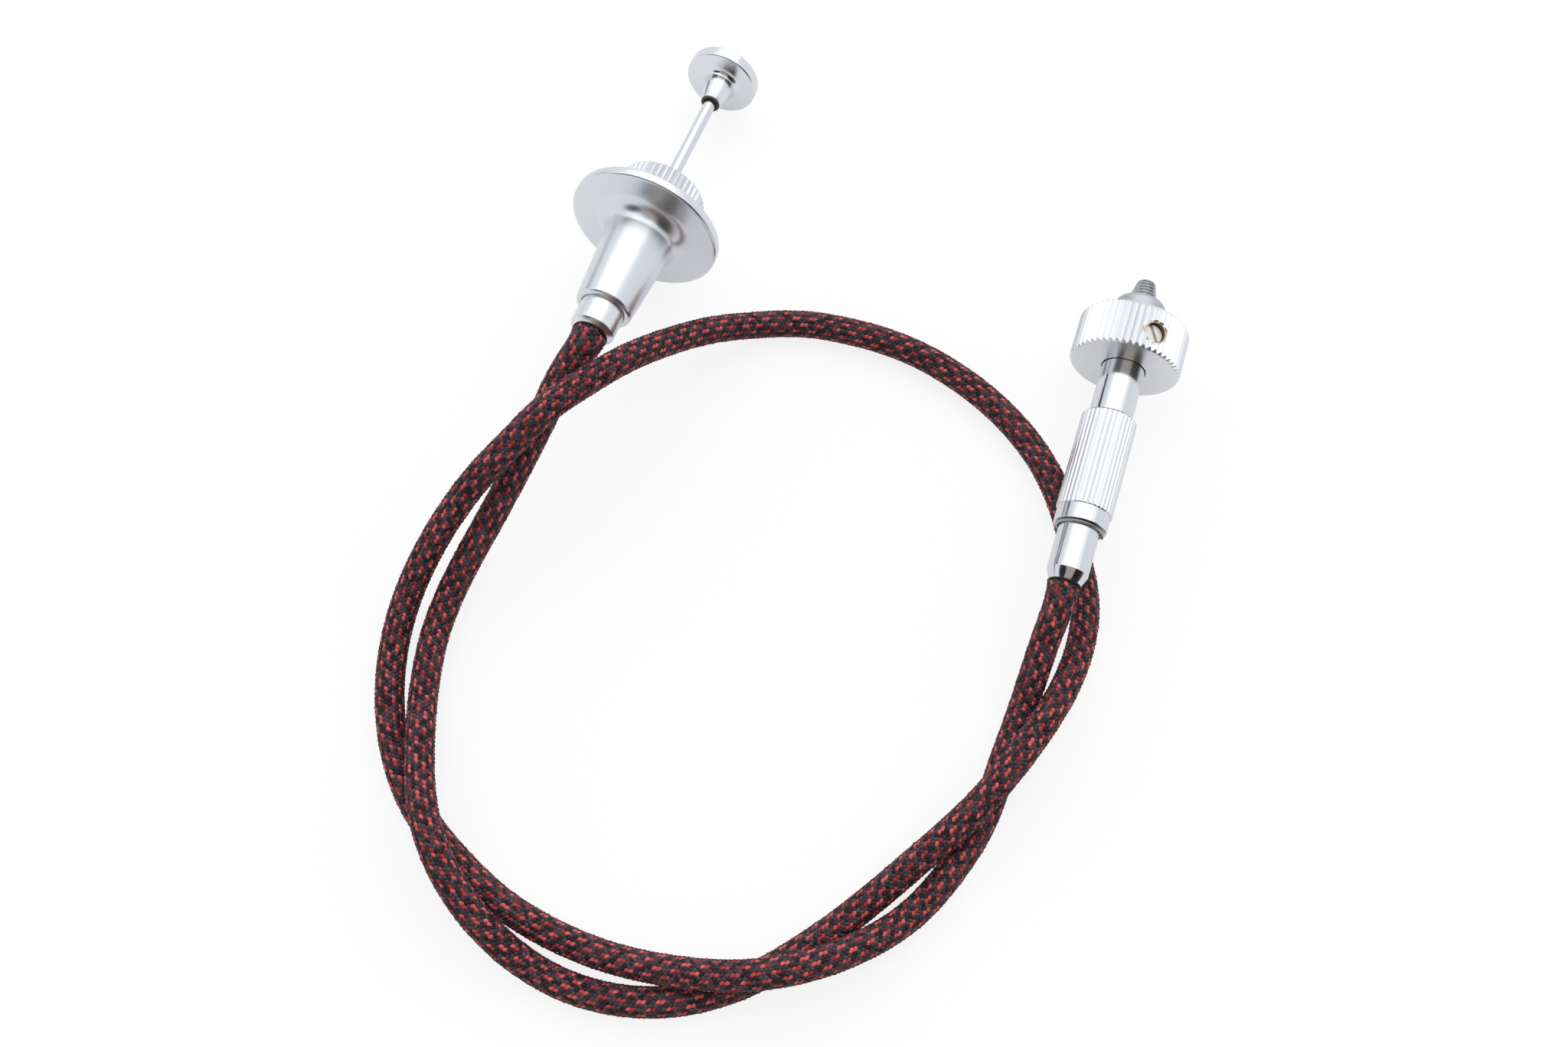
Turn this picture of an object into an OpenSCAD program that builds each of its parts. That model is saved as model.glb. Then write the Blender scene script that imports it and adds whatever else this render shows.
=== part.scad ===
// Cable shutter release with a disc lock, a braided cable and a swivelling threaded tip.
// Every piece of the plunger end is drawn along one axis and every piece of the camera end along
// another. Heights along an axis start at the cable-side face of the finger plate, and at the
// cable-side face of the knurled wheel. Positive heights point to the button, and to the cone.

/* [Handle body] */
// Diameter of the finger plate
plate_d = 22; // [18:0.5:26]
// Thickness of the finger plate
plate_t = 1.6; // [1.2:0.1:2.4]
// Rounding of the plate's edge
plate_edge = 0.4; // [0.2:0.1:0.6]
// Barrel diameter just under the plate
barrel_top_d = 9.9; // [9:0.1:11]
// Barrel diameter at its cable end
barrel_end_d = 8.1; // [7.8:0.1:9]
// Barrel length below the plate
barrel_len = 15; // [13:0.5:20]
// Fillet between the plate and the barrel
barrel_fillet = 2.6; // [1.5:0.1:3]
// Rounding of the barrel's cable end
barrel_end_round = 0.6; // [0.3:0.1:0.8]
// Bore that the plunger's collar runs in
chamber_d = 5.8; // [5:0.1:6]
// Diameter of the boss that the lock ring turns on
boss_d = 8.4; // [7.6:0.1:9]
// Height of the boss above the plate
boss_h = 5; // [4:0.1:6]

/* [Disc lock] */
// Diameter of the lock ring over its teeth
ring_d = 12.7; // [11.5:0.1:14]
// Height of the lock ring
ring_h = 5.6; // [5:0.1:7]
// Teeth round the lock ring
ring_teeth = 44; // [30:1:60]
// Depth of a lock ring tooth
ring_tooth = 0.32; // [0.2:0.02:0.5]
// Width of the lock ring's raised rim
ring_rim = 1.5; // [1:0.1:2]
// Depth of the lock ring's sunk face below its rim
ring_sink = 0.35; // [0.2:0.05:0.6]
// Thickness of the washer under the lock ring
washer_t = 0.3; // [0.2:0.05:0.5]
// Diameter of the lock collet in its seat
collet_d = 4.4; // [4:0.1:5]
// Height of the lock collet
collet_h = 2.2; // [1.6:0.1:2.6]
// Width of the slots in the lock collet
collet_slot = 0.4; // [0.3:0.05:0.6]

/* [Plunger] */
// Diameter of the plunger rod
rod_d = 1.8; // [1.6:0.1:2.2]
// Travel of the plunger
stroke = 12; // [8:0.5:12.5]
// Diameter of the thumb button
button_d = 10.9; // [9:0.1:13]
// Thickness of the button's rim
button_t = 1.9; // [1.2:0.1:2.4]
// Rounding of the button's rim
button_edge = 0.25; // [0.15:0.05:0.5]
// Height of the button's cable-side face above the plate's cable-side face
button_at = 31; // [27:0.1:34]
// Depth of the thumb hollow in the button
button_dish = 0.45; // [0.2:0.05:0.7]
// Length of the hub under the button
hub_len = 4.4; // [4:0.1:6]
// Diameter of the hub at its mouth
hub_mouth_d = 3; // [2.8:0.1:3.6]
// Diameter of the hub where it meets the button
hub_root_d = 4.6; // [4:0.1:6]
// Fillet between the hub and the button
hub_fillet = 0.9; // [0.4:0.1:1.2]
// Thickness of the rubber ring at the hub's mouth
bumper_t = 0.25; // [0.2:0.05:1]
// Diameter of the collar on the rod
collar_d = 5.2; // [4.6:0.1:5.4]
// Thickness of the collar
collar_t = 1; // [0.8:0.1:1.4]
// Diameter of the sleeve that clamps the wire to the rod
clamp_d = 2.6; // [2.3:0.1:2.8]
// Length of the clamping sleeve below the rod
clamp_len = 2.4; // [2:0.1:3]
// Length of the clamping sleeve over the rod
clamp_lap = 1; // [0.6:0.1:1.2]
// Length of the rod below its collar
rod_tail = 1.4; // [1:0.1:2]
// Diameter of the core wire
wire_d = 0.9; // [0.7:0.05:1]

/* [Cable] */
// Outside diameter of the braided cable
cable_d = 4; // [3.4:0.1:4]
// Diameter of the handle ferrule
ferrule_d = 6.3; // [5.8:0.1:6.6]
// Straight length of the handle ferrule that shows
ferrule_len = 2; // [1.5:0.1:4]
// Length of the handle ferrule's tapered end
ferrule_taper = 2.2; // [1.5:0.1:3]
// Depth of the handle ferrule's seat in the barrel
ferrule_seat = 1.6; // [1.2:0.1:2]
// Diameter at the small end of both ferrules
ferrule_end_d = 4.4; // [4.2:0.1:4.8]
// Room below the clamping sleeve when the plunger is pressed in, and wall at the bore's end
clamp_stop = 0.6; // [0.4:0.1:1]

/* [Camera end] */
// Diameter of the knurled wheel over its teeth
wheel_d = 15.5; // [13:0.1:18]
// Width of the knurled wheel
wheel_h = 6.8; // [5:0.1:8]
// Teeth round the wheel
wheel_teeth = 52; // [40:1:60]
// Depth of a wheel tooth
wheel_tooth = 0.42; // [0.3:0.02:0.6]
// Chamfer of the wheel's teeth
wheel_chamfer = 0.4; // [0.1:0.05:0.6]
// Width of the relief round the neck in the wheel's cable-side face
relief_w = 0.15; // [0.1:0.05:0.4]
// Depth of that relief
relief_deep = 0.8; // [0.4:0.1:1.5]
// Diameter of the wheel's cross hole
cross_d = 3.4; // [2.6:0.1:3.6]
// Height of the cross hole in the wheel
cross_at = 3; // [2.2:0.1:3.6]
// Turn of the cross hole from straight up
cross_turn = 17; // [0:1:90]
// Depth of the set screw below the wheel's teeth
screw_sink = 1.1; // [0.5:0.1:1.4]
// Width of the set screw's slot
slot_w = 0.5; // [0.4:0.05:0.7]
// Depth of the set screw's slot
slot_deep = 0.8; // [0.5:0.1:1]
// Turn of the slot from the wheel's axis
slot_turn = 35; // [0:5:90]
// Diameter of the grip's neck
neck_d = 6; // [5.6:0.1:6.4]
// Length of the neck below the wheel
neck_len = 8.1; // [5:0.1:10]
// Diameter of the grip over its knurl
knurl_d = 7.7; // [7:0.1:8.4]
// Length of the grip's knurl
knurl_len = 14.5; // [12:0.1:18]
// Teeth round the grip
knurl_teeth = 36; // [28:1:44]
// Depth of a grip tooth
knurl_tooth = 0.2; // [0.12:0.02:0.3]
// Diameter of the smooth lip at the grip's cable end
lip_d = 7.3; // [6.6:0.1:7.6]
// Length of the smooth lip
lip_len = 2.3; // [1.5:0.1:4]
// Chamfer at both ends of the lip
lip_chamfer = 0.25; // [0.1:0.05:0.5]

/* [Swivel and tip ferrule] */
// Diameter of the tube that the grip turns on
swivel_d = 3.8; // [3.4:0.1:4]
// Diameter of the flange that holds the grip on
swivel_flange_d = 4.7; // [4.5:0.1:4.8]
// Thickness of that flange
swivel_flange_t = 1; // [0.8:0.1:1.4]
// Height of that flange above the grip's cable end
swivel_flange_at = 15.6; // [12:0.1:17]
// Bore inside the grip above the flange
socket_d = 4.8; // [4.8:0.05:5]
// Depth of that tube in the tip ferrule
swivel_seat = 3; // [2:0.1:4]
// Diameter of the tip ferrule
tip_ferrule_d = 5.6; // [5.2:0.1:6]
// Straight length of the tip ferrule
tip_ferrule_len = 6.6; // [5:0.1:10]
// Length of the tip ferrule's tapered end
tip_ferrule_taper = 1.5; // [1:0.1:2.5]
// Wire thickness of the snap ring
snap_wire = 0.4; // [0.3:0.05:0.6]
// Gap in the snap ring, in degrees
snap_gap = 30; // [15:1:60]

/* [Threaded cone] */
// Diameter of the dome on the wheel
dome_d = 7.2; // [6.6:0.1:8]
// Height of the dome's side
dome_side = 3.1; // [2.4:0.1:4.4]
// Height of the dome's crown above its side
dome_crown = 1.1; // [0.8:0.1:3]
// Diameter of the dome at the foot of the cone
dome_top_d = 4.4; // [4.3:0.1:4.8]
// Diameter of the cone at its foot
cone_foot_d = 4.2; // [3.4:0.1:4.3]
// Diameter of the cone at its mouth
cone_mouth_d = 2.6; // [2.3:0.1:2.8]
// Length of the cone
cone_len = 3.2; // [1.8:0.1:4]
// Number of thread grooves on the cone
thread_turns = 5; // [2:1:6]
// Depth of the thread grooves
thread_deep = 0.12; // [0.06:0.02:0.16]
// Length of the spigot that holds the cone in the grip
spigot_len = 11; // [8:0.1:12]
// Diameter of the release pin
pin_d = 1.4; // [1.2:0.05:1.5]
// Depth of the pin below the cone's mouth at rest
pin_rest = 0.8; // [0.4:0.1:1.2]
// Length of the pin that stays in the tip when it is pressed out
pin_stay = 2.4; // [2:0.1:4]
// Height of the core wire's drawn end above the tip ferrule
wire_start = 2; // [1:0.1:4]

/* [Fits] */
// Radial clearance of pieces that turn or slide in each other
run_clear = 0.05; // [0.02:0.01:0.08]
// End gap between pieces that turn on each other
end_gap = 0.1; // [0.05:0.01:0.15]

/* [Lie of the object] */
// Plate centre, to the right
handle_x = -33.5; // [-60:0.1:0]
// Plate centre, away
handle_y = 9.1; // [-20:0.1:40]
// Turn of the handle's axis from straight away
handle_turn = 19.4; // [0:0.1:40]
// Wheel centre, to the right
tip_x = 34.4; // [0:0.1:60]
// Wheel centre, away
tip_y = -10.3; // [-40:0.1:40]
// Turn of the tip's axis from straight away
tip_turn = 17.7; // [0:0.1:40]
// Rise of the tip's axis towards the cone
tip_rise = -0.8; // [-2:0.1:4]

/* [Hidden] */
eps = 0.01;
cut = 1;
ring_foot = plate_t + washer_t + end_gap;
ring_top = ring_foot + ring_h;
boss_top = plate_t + boss_h;
ring_roof = ring_top - boss_top - end_gap;
collet_foot = boss_top - collet_h;
chamber_foot = ferrule_seat - barrel_len;
collar_top = plate_t - end_gap;
rod_foot = collar_top - collar_t - rod_tail;
rod_head = button_at - hub_len * 0.2;
handle_end = -barrel_len - ferrule_len - ferrule_taper;
wire_stop = handle_end + clamp_stop;
wire_foot = wire_stop + stroke + end_gap;
hub_mouth = button_at - hub_len;
// The handle lies on the plate's edge and on the button's edge.
button_top = button_at + button_t;
handle_drop = atan((plate_d - button_d) / 2 / (button_top - plate_t));
handle_z = plate_d / 2 * cos(handle_drop) + plate_t * sin(handle_drop);
grip_foot = -neck_len - knurl_len - lip_len;
ferrule_top = grip_foot - end_gap;
tip_end = ferrule_top - tip_ferrule_len - tip_ferrule_taper;
flange_foot = grip_foot + swivel_flange_at;
dome_foot = wheel_h;
dome_top = dome_foot + dome_side + dome_crown;
cone_top = dome_top + cone_len;
pin_top = cone_top - pin_rest;
pin_foot = pin_top - stroke - pin_stay;
spigot_foot = dome_foot - spigot_len;
snap_r = tip_ferrule_d / 2;
tip_z = wheel_d / 2 * cos(tip_rise) + wheel_h * max(0, -sin(tip_rise));
fine = 64;
small = 40;

// The cable's route from the handle to the tip. It bends down from the raised ferrule, goes once
// round, passes under the grip, climbs over its own start and goes round a second time.
cable_turns = [
    [-42.2, -13.1, 14.2], [-44.1, -16.3, 13.3], [-45.8, -19.9, 12.3], [-47.8, -23.9, 11.0],
    [-50.3, -28.3, 9.0], [-53.7, -34.4, 7.0], [-57.4, -40.8, 4.5], [-60.2, -48.4, 3.0],
    [-61.0, -56.0, 3.0], [-60.3, -65.0, 5.0], [-58.5, -73.5, 6.5], [-54.9, -80.9, 6.0],
    [-50.2, -86.7, 4.2], [-42.8, -92.1, 2.0], [-34.5, -94.8, 2.0], [-26.0, -95.0, 2.0],
    [-18.8, -93.2, 2.0], [-11.1, -89.3, 2.0], [-3.5, -84.1, 2.5], [4.5, -77.6, 3.8],
    [11.0, -72.0, 5.8], [16.3, -66.3, 6.5], [22.1, -58.7, 5.6], [26.5, -50.8, 3.0],
    [28.3, -43.0, 2.0], [27.3, -35.0, 2.0], [25.4, -27.0, 2.0], [22.3, -20.3, 2.0],
    [17.5, -14.1, 2.0], [11.0, -8.5, 2.0], [4.0, -4.5, 2.0], [-4.0, -1.9, 2.0],
    [-12.0, -0.8, 2.0], [-18.0, -1.6, 3.0], [-23.8, -3.9, 6.0], [-29.7, -7.8, 10.0],
    [-35.7, -13.3, 15.0], [-40.8, -18.2, 17.5], [-44.6, -21.5, 18.0], [-48.5, -25.0, 16.5],
    [-52.1, -28.0, 14.5], [-57.4, -33.1, 10.5], [-62.0, -39.5, 6.5], [-65.2, -47.0, 3.0],
    [-65.9, -55.0, 2.0], [-64.6, -63.0, 2.0], [-61.1, -71.0, 2.0], [-55.8, -77.3, 2.0],
    [-49.4, -82.9, 2.0], [-42.1, -87.1, 2.0], [-34.5, -89.9, 2.5], [-26.4, -91.5, 4.5],
    [-19.0, -92.0, 6.0], [-11.6, -91.2, 6.0], [-3.6, -88.6, 4.5], [3.5, -84.4, 2.5],
    [9.2, -78.4, 2.0], [13.4, -71.8, 2.0], [16.1, -65.0, 2.0], [18.6, -58.7, 2.2],
    [20.3, -53.6, 4.4], [22.0, -48.5, 7.0]
];

// Lengths that stay straight where the cable leaves the handle and where it enters the tip.
straight_start = 1.6;
straight_end = 3;

// Puts a piece drawn up its own axis on the plunger's axis.
module on_handle() {
    translate([handle_x, handle_y, handle_z]) rotate([0, 0, -handle_turn])
        rotate([-90 - handle_drop, 0, 0]) children();
}

// Puts a piece drawn up its own axis on the tip's axis.
module on_tip() {
    translate([tip_x, tip_y, tip_z]) rotate([0, 0, -tip_turn])
        rotate([-90 + tip_rise, 0, 0]) children();
}

// A point on the plunger's axis, and one on the tip's axis, at a height along it.
function handle_point(s) = [
    handle_x + s * sin(handle_turn) * cos(handle_drop),
    handle_y + s * cos(handle_turn) * cos(handle_drop),
    handle_z - s * sin(handle_drop)
];
function tip_point(s) = [
    tip_x + s * sin(tip_turn) * cos(tip_rise),
    tip_y + s * cos(tip_turn) * cos(tip_rise),
    tip_z + s * sin(tip_rise)
];

// Points on an arc in the profile plane.
function arc(cx, cy, r, from, to, n) = [
    for (i = [0 : n]) let (a = from + (to - from) * i / n) [cx + r * cos(a), cy + r * sin(a)]
];

// A straight tooth ring: each tooth has a narrow land and a V groove beside it.
module tooth_outline(d, teeth, deep) {
    step = 360 / teeth;
    polygon([
        for (i = [0 : teeth - 1]) for (k = [[-0.18, 0], [0.18, 0], [0.5, deep]])
            (d / 2 - k[1]) * [cos((i + k[0]) * step), sin((i + k[0]) * step)]
    ]);
}

// A toothed drum whose teeth are chamfered at both ends.
module toothed_drum(d, h, teeth, deep, cham) {
    intersection() {
        linear_extrude(height = h) tooth_outline(d, teeth, deep);
        rotate_extrude($fn = fine) polygon([
            [0, 0], [d / 2 - cham, 0], [d / 2 + eps, cham + eps],
            [d / 2 + eps, h - cham - eps], [d / 2 - cham, h], [0, h]
        ]);
    }
}

// Finger plate, barrel and boss, turned from one bar and bored through.
module handle_body() {
    top_r = barrel_top_d / 2;
    end_r = barrel_end_d / 2;
    edge_r = plate_d / 2;
    color("#c9ccd2") on_handle() difference() {
        rotate_extrude($fn = 96) polygon(concat(
            [[0, boss_top], [boss_d / 2, boss_top], [boss_d / 2, plate_t]],
            arc(edge_r - plate_edge, plate_t - plate_edge, plate_edge, 90, 0, 4),
            arc(edge_r - plate_edge, plate_edge, plate_edge, 0, -90, 4),
            arc(top_r + barrel_fillet, -barrel_fillet, barrel_fillet, 90, 180, 10),
            arc(end_r - barrel_end_round, barrel_end_round - barrel_len, barrel_end_round, 0, -90, 5),
            [[0, -barrel_len]]
        ));
        translate([0, 0, chamber_foot]) cylinder(d = chamber_d, h = plate_t - chamber_foot, $fn = fine);
        translate([0, 0, -barrel_len - cut]) cylinder(d = ferrule_d, h = ferrule_seat + cut, $fn = fine);
        cylinder(d = collet_d, h = boss_top + cut, $fn = fine);
    }
}

// Bush that guides the rod below the collet.
module top_bush() {
    color("#b9a46a") on_handle() difference() {
        translate([0, 0, plate_t]) cylinder(d = collet_d, h = collet_foot - plate_t, $fn = small);
        cylinder(d = rod_d + 2 * run_clear, h = collet_foot + cut, $fn = small);
    }
}

// Flat washer between the plate and the lock ring.
module lock_washer() {
    color("#8d8f93") on_handle() difference() {
        translate([0, 0, plate_t]) cylinder(d = ring_d - 2, h = washer_t, $fn = fine);
        cylinder(d = boss_d + 2 * run_clear, h = boss_top, $fn = fine);
    }
}

// Toothed cap that turns on the boss and presses the collet on the rod.
module lock_ring() {
    color("#d5d8dd") on_handle() difference() {
        translate([0, 0, ring_foot]) toothed_drum(ring_d, ring_h, ring_teeth, ring_tooth, 0.25);
        cylinder(d = boss_d + 2 * run_clear, h = ring_top - ring_roof, $fn = fine);
        cylinder(d = rod_d + 0.8, h = ring_top + cut, $fn = small);
        translate([0, 0, ring_top - ring_sink])
            cylinder(d = ring_d - 2 * ring_rim, h = ring_sink + cut, $fn = fine);
    }
}

// Split collet with a cone on top, in its seat in the boss.
module lock_collet() {
    color("#b9a46a") on_handle() difference() {
        translate([0, 0, collet_foot]) union() {
            cylinder(d = collet_d, h = collet_h - 0.6, $fn = small);
            translate([0, 0, collet_h - 0.6])
                cylinder(d1 = collet_d, d2 = collet_d - 1, h = 0.6, $fn = small);
        }
        cylinder(d = rod_d + 2 * run_clear, h = boss_top + cut, $fn = small);
        for (a = [0 : 120 : 240]) rotate([0, 0, a])
            translate([0, -collet_slot / 2, collet_foot + 0.7]) cube([collet_d, collet_slot, collet_h]);
    }
}

// Dished button with a flared hub that takes the rod.
module thumb_button() {
    r = button_d / 2;
    e = button_edge;
    color("#d5d8dd") on_handle() difference() {
        rotate_extrude($fn = 72) polygon(concat(
            [[0, button_top - button_dish], [r * 0.4, button_top - button_dish * 0.84]],
            [[r * 0.7, button_top - button_dish * 0.4], [r - 3 * e, button_top]],
            arc(r - e, button_top - e, e, 90, 0, 4),
            arc(r - e, button_at + e, e, 0, -90, 4),
            arc(hub_root_d / 2 + hub_fillet, button_at - hub_fillet, hub_fillet, 90, 180, 5),
            [[hub_mouth_d / 2, hub_mouth], [0, hub_mouth]]
        ));
        translate([0, 0, hub_mouth - cut]) cylinder(d = rod_d, h = rod_head - hub_mouth + cut, $fn = small);
    }
}

// Rubber ring that stops the button on the lock ring.
module rod_bumper() {
    color("#3a3a28") on_handle() difference() {
        translate([0, 0, hub_mouth - bumper_t]) cylinder(d = hub_mouth_d, h = bumper_t, $fn = small);
        cylinder(d = rod_d, h = button_at, $fn = small);
    }
}

// Polished rod from the button to the wire clamp.
module plunger_rod() {
    color("#dfe2e6") on_handle() translate([0, 0, rod_foot])
        cylinder(d = rod_d, h = rod_head - rod_foot, $fn = small);
}

// Collar that the return spring pushes against the bush.
module rod_collar() {
    color("#b9a46a") on_handle() difference() {
        translate([0, 0, collar_top - collar_t]) cylinder(d = collar_d, h = collar_t, $fn = small);
        translate([0, 0, rod_foot]) cylinder(d = rod_d, h = rod_head - rod_foot, $fn = small);
    }
}

// Sleeve over the rod's end and the wire.
module wire_clamp() {
    color("#b9a46a") on_handle() difference() {
        translate([0, 0, rod_foot - clamp_len])
            cylinder(d = clamp_d, h = clamp_len + clamp_lap, $fn = small);
        translate([0, 0, rod_foot]) cylinder(d = rod_d, h = clamp_lap + cut, $fn = small);
        translate([0, 0, wire_foot]) cylinder(d = wire_d, h = rod_foot - wire_foot + cut, $fn = small);
    }
}

// First stretch of the core wire, which slides in the ferrule's bore.
module upper_wire() {
    color("#9a9da2") on_handle() translate([0, 0, wire_foot])
        cylinder(d = wire_d, h = rod_foot - wire_foot, $fn = 24);
}

// Ferrule at the barrel's cable end, with a tapered nose.
module handle_ferrule() {
    color("#dfe2e6") on_handle() difference() {
        rotate_extrude($fn = fine) polygon([
            [0, chamber_foot], [ferrule_d / 2, chamber_foot],
            [ferrule_d / 2, -barrel_len - ferrule_len],
            [ferrule_end_d / 2, handle_end], [0, handle_end]
        ]);
        translate([0, 0, rod_foot - clamp_len - stroke - clamp_stop])
            cylinder(d = clamp_d + 4 * run_clear, h = stroke + barrel_len, $fn = small);
        translate([0, 0, wire_stop])
            cylinder(d = wire_d + 4 * run_clear, h = barrel_len, $fn = 24);
    }
}

// Ferrule at the camera end of the cable, with a seat for the snap ring.
module tip_ferrule() {
    color("#dfe2e6") on_tip() difference() {
        rotate_extrude($fn = fine) polygon([
            [0, ferrule_top], [tip_ferrule_d / 2 - snap_wire * 0.6, ferrule_top],
            [tip_ferrule_d / 2 - snap_wire * 0.6, ferrule_top - snap_wire * 1.4],
            [tip_ferrule_d / 2, ferrule_top - snap_wire * 1.4],
            [tip_ferrule_d / 2, ferrule_top - tip_ferrule_len],
            [ferrule_end_d / 2, tip_end], [0, tip_end]
        ]);
        translate([0, 0, ferrule_top - swivel_seat])
            cylinder(d = swivel_d, h = swivel_seat + cut, $fn = small);
    }
}

// Tube with a flange, fixed in the tip ferrule, that the grip turns on.
module swivel_tube() {
    foot = ferrule_top - swivel_seat;
    color("#b9a46a") on_tip() difference() {
        union() {
            translate([0, 0, foot])
                cylinder(d = swivel_d, h = flange_foot + end_gap - foot + eps, $fn = small);
            translate([0, 0, flange_foot + end_gap])
                cylinder(d = swivel_flange_d, h = swivel_flange_t, $fn = small);
        }
        translate([0, 0, foot + cut])
            cylinder(d = wire_d + 6 * run_clear, h = flange_foot - foot + swivel_flange_t, $fn = 24);
    }
}

// Open wire ring in the ferrule's seat.
module snap_ring() {
    color("#6f7277") on_tip() translate([0, 0, ferrule_top - snap_wire * 0.8])
        rotate([0, 0, snap_gap / 2]) rotate_extrude(angle = 360 - snap_gap, $fn = 48)
            translate([snap_r - snap_wire * 0.1, 0]) circle(d = snap_wire, $fn = 12);
}

// Neck, straight knurl and smooth lip in one turned sleeve.
module grip_sleeve() {
    lip_r = lip_d / 2;
    color("#d5d8dd") on_tip() difference() {
        union() {
            translate([0, 0, grip_foot]) rotate_extrude($fn = fine) polygon([
                [0, 0], [lip_r - lip_chamfer, 0], [lip_r, lip_chamfer], [lip_r, lip_len - lip_chamfer],
                [lip_r - lip_chamfer, lip_len + eps], [0, lip_len + eps]
            ]);
            translate([0, 0, -neck_len - knurl_len])
                toothed_drum(knurl_d, knurl_len, knurl_teeth, knurl_tooth, 0.3);
            translate([0, 0, -neck_len - eps])
                cylinder(d = neck_d, h = neck_len + wheel_h + eps, $fn = fine);
        }
        translate([0, 0, grip_foot - cut])
            cylinder(d = swivel_d + 2 * run_clear, h = swivel_flange_at + 2 * cut, $fn = small);
        translate([0, 0, flange_foot])
            cylinder(d = socket_d, h = dome_foot - flange_foot + cut, $fn = small);
    }
}

// Wide knurled wheel, clamped on the neck, with a cross hole for its screw.
module knurled_wheel() {
    color("#d5d8dd") on_tip() difference() {
        toothed_drum(wheel_d, wheel_h, wheel_teeth, wheel_tooth, wheel_chamfer);
        translate([0, 0, -cut]) cylinder(d = neck_d, h = wheel_h + 2 * cut, $fn = fine);
        translate([0, 0, -cut]) cylinder(d = neck_d + 2 * relief_w, h = relief_deep + cut, $fn = fine);
        rotate([0, 0, cross_turn]) translate([0, 0, cross_at]) rotate([90, 0, 0])
            cylinder(d = cross_d, h = wheel_d, $fn = small);
    }
}

// Slotted set screw in the wheel's cross hole, with its foot on the neck.
module set_screw() {
    foot = neck_d / 2;
    head = wheel_d / 2 - screw_sink;
    color("#b59a5a") on_tip() rotate([0, 0, cross_turn]) translate([0, 0, cross_at])
        difference() {
            rotate([90, 0, 0]) cylinder(d = cross_d, h = head, $fn = small);
            translate([0, 0, -cross_at - cut]) cylinder(r = foot, h = wheel_h + 2 * cut, $fn = fine);
            rotate([0, slot_turn, 0]) translate([-slot_w / 2, -head - cut, -cross_d])
                cube([slot_w, slot_deep + cut, 2 * cross_d]);
        }
}

// Domed shoulder and threaded cone, held in the grip by its spigot.
module cone_tip() {
    step = cone_len / (thread_turns + 1);
    slope = (cone_foot_d - cone_mouth_d) / 2 / cone_len;
    crown_r = (dome_d - dome_top_d) / 2;
    color("#dfe2e6") on_tip() difference() {
        rotate_extrude($fn = fine) polygon(concat(
            [[0, spigot_foot], [socket_d / 2, spigot_foot], [socket_d / 2, dome_foot]],
            [[dome_d / 2, dome_foot]],
            [for (a = [0 : 15 : 90])
                [dome_top_d / 2 + crown_r * cos(a), dome_foot + dome_side + dome_crown * sin(a)]],
            [[cone_foot_d / 2, dome_top]],
            [for (i = [1 : thread_turns]) for (k = [[-0.34, 0], [0, 1], [0.34, 0]])
                let (h = (i + k[0]) * step)
                [cone_foot_d / 2 - slope * h - k[1] * thread_deep, dome_top + h]],
            [[cone_mouth_d / 2, cone_top - 0.1], [cone_mouth_d / 2 - 0.1, cone_top], [0, cone_top]]
        ));
        translate([0, 0, spigot_foot - cut])
            cylinder(d = pin_d + 2 * run_clear, h = cone_top - spigot_foot + 2 * cut, $fn = small);
    }
}

// Pin that comes out of the cone and presses the camera's release.
module release_pin() {
    color("#c2c5ca") on_tip() union() {
        translate([0, 0, pin_foot]) cylinder(d = pin_d, h = pin_top - pin_foot - 0.2, $fn = small);
        translate([0, 0, pin_top - 0.2]) cylinder(d1 = pin_d, d2 = pin_d - 0.3, h = 0.2, $fn = small);
    }
}

// Last stretch of the core wire, under the pin.
module pin_wire() {
    foot = ferrule_top + wire_start;
    color("#9a9da2") on_tip() translate([0, 0, foot]) cylinder(d = wire_d, h = pin_foot - foot, $fn = 24);
}

// The cable as one tube: straight out of each ferrule, then along its route.
cable_path = concat(
    [handle_point(handle_end), handle_point(handle_end - straight_start)],
    cable_turns,
    [tip_point(tip_end - straight_end), tip_point(tip_end)]
);
function unit(v) = v / norm(v);
function heading(p, i) = i == 0 ? unit(p[1] - p[0])
    : i == len(p) - 1 ? unit(p[i] - p[i - 1])
    : unit(unit(p[i + 1] - p[i]) + unit(p[i] - p[i - 1]));
function tube_ring(p, i, r, n) = let (
    t = heading(p, i), side = unit(cross(t, [0, 0, 1])), up = cross(side, t)
) [for (k = [0 : n - 1]) let (a = 360 * (k + 0.5) / n) p[i] + r * (cos(a) * side + sin(a) * up)];

module tube(p, r, n) {
    rings = len(p);
    pts = [for (i = [0 : rings - 1]) each tube_ring(p, i, r, n)];
    walls = [
        for (i = [0 : rings - 2]) for (k = [0 : n - 1]) let (
            a = i * n + k, b = i * n + (k + 1) % n
        ) each [[a, a + n, b], [b, a + n, b + n]]
    ];
    first = [for (k = [1 : n - 2]) [0, k, k + 1]];
    last = [for (k = [1 : n - 2]) (rings - 1) * n * [1, 1, 1] + [0, k + 1, k]];
    polyhedron(points = pts, faces = concat(walls, first, last), convexity = 10);
}

module braided_cable() {
    color("#2b2224") tube(cable_path, cable_d / 2, 10);
}

function path_length(p, i = 0) = i >= len(p) - 1 ? 0 : norm(p[i + 1] - p[i]) + path_length(p, i + 1);
echo(cable_length = path_length(cable_path));

handle_body();
top_bush();
lock_washer();
lock_ring();
lock_collet();
thumb_button();
rod_bumper();
plunger_rod();
rod_collar();
wire_clamp();
upper_wire();
handle_ferrule();
braided_cable();
tip_ferrule();
swivel_tube();
snap_ring();
grip_sleeve();
knurled_wheel();
set_screw();
cone_tip();
release_pin();
pin_wire();
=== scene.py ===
from math import cos, pi, radians, sin

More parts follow.
